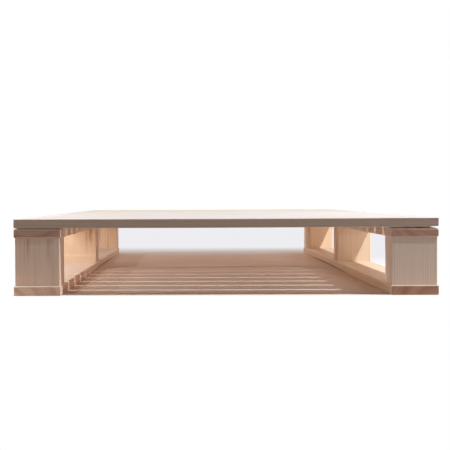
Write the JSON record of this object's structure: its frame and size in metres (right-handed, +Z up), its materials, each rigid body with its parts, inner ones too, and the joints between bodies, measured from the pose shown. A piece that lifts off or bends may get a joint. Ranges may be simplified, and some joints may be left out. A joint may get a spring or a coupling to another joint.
{
  "type": "pallet bed",
  "caption": "Low square wooden pallet bed module: a slatted deck on side runners, each built of upright blocks between a top board and a floor board.",
  "frame": {"origin": "on the floor, under the centre of the square deck", "axes": "+X along the slats to the right, +Y along the runners to the rear, +Z up"},
  "size_m": [0.98, 0.98, 0.178],
  "materials": {
    "slat_wood": "planed smooth, unfinished pale softwood, matt",
    "runner_wood": "planed smooth, unfinished pinkish softwood, matt, sawn end grain",
    "block_wood": "planed smooth, unfinished softwood with upright grain, matt",
    "screw_steel": "yellow-passivated zinc plating, satin"
  },
  "bodies": {
    "root": {"deck_slat_01": "slat_wood", "deck_slat_02": "slat_wood", "deck_slat_03": "slat_wood", "deck_slat_04": "slat_wood", "deck_slat_05": "slat_wood", "deck_slat_06": "slat_wood", "deck_slat_07": "slat_wood", "deck_slat_08": "slat_wood", "deck_slat_09": "slat_wood", "deck_slat_10": "slat_wood", "deck_slat_11": "slat_wood", "deck_slat_12": "slat_wood", "deck_slat_13": "slat_wood", "deck_slat_14": "slat_wood", "deck_slat_15": "slat_wood", "deck_slat_16": "slat_wood", "deck_slat_17": "slat_wood", "top_runner_left": "runner_wood", "top_runner_right": "runner_wood", "bottom_runner_left": "runner_wood", "bottom_runner_right": "runner_wood", "block_left_front": "block_wood", "block_left_middle": "block_wood", "block_left_rear": "block_wood", "block_right_front": "block_wood", "block_right_middle": "block_wood", "block_right_rear": "block_wood", "upper_screw_left_front_outer": "screw_steel", "upper_screw_left_front_inner": "screw_steel", "upper_screw_left_middle_outer": "screw_steel", "upper_screw_left_middle_inner": "screw_steel", "upper_screw_left_rear_outer": "screw_steel", "upper_screw_left_rear_inner": "screw_steel", "upper_screw_right_front_outer": "screw_steel", "upper_screw_right_front_inner": "screw_steel", "upper_screw_right_middle_outer": "screw_steel", "upper_screw_right_middle_inner": "screw_steel", "upper_screw_right_rear_outer": "screw_steel", "upper_screw_right_rear_inner": "screw_steel", "lower_screw_left_front_outer": "screw_steel", "lower_screw_left_front_inner": "screw_steel", "lower_screw_left_middle_outer": "screw_steel", "lower_screw_left_middle_inner": "screw_steel", "lower_screw_left_rear_outer": "screw_steel", "lower_screw_left_rear_inner": "screw_steel", "lower_screw_right_front_outer": "screw_steel", "lower_screw_right_front_inner": "screw_steel", "lower_screw_right_middle_outer": "screw_steel", "lower_screw_right_middle_inner": "screw_steel", "lower_screw_right_rear_outer": "screw_steel", "lower_screw_right_rear_inner": "screw_steel"}
  },
  "joints": []
}
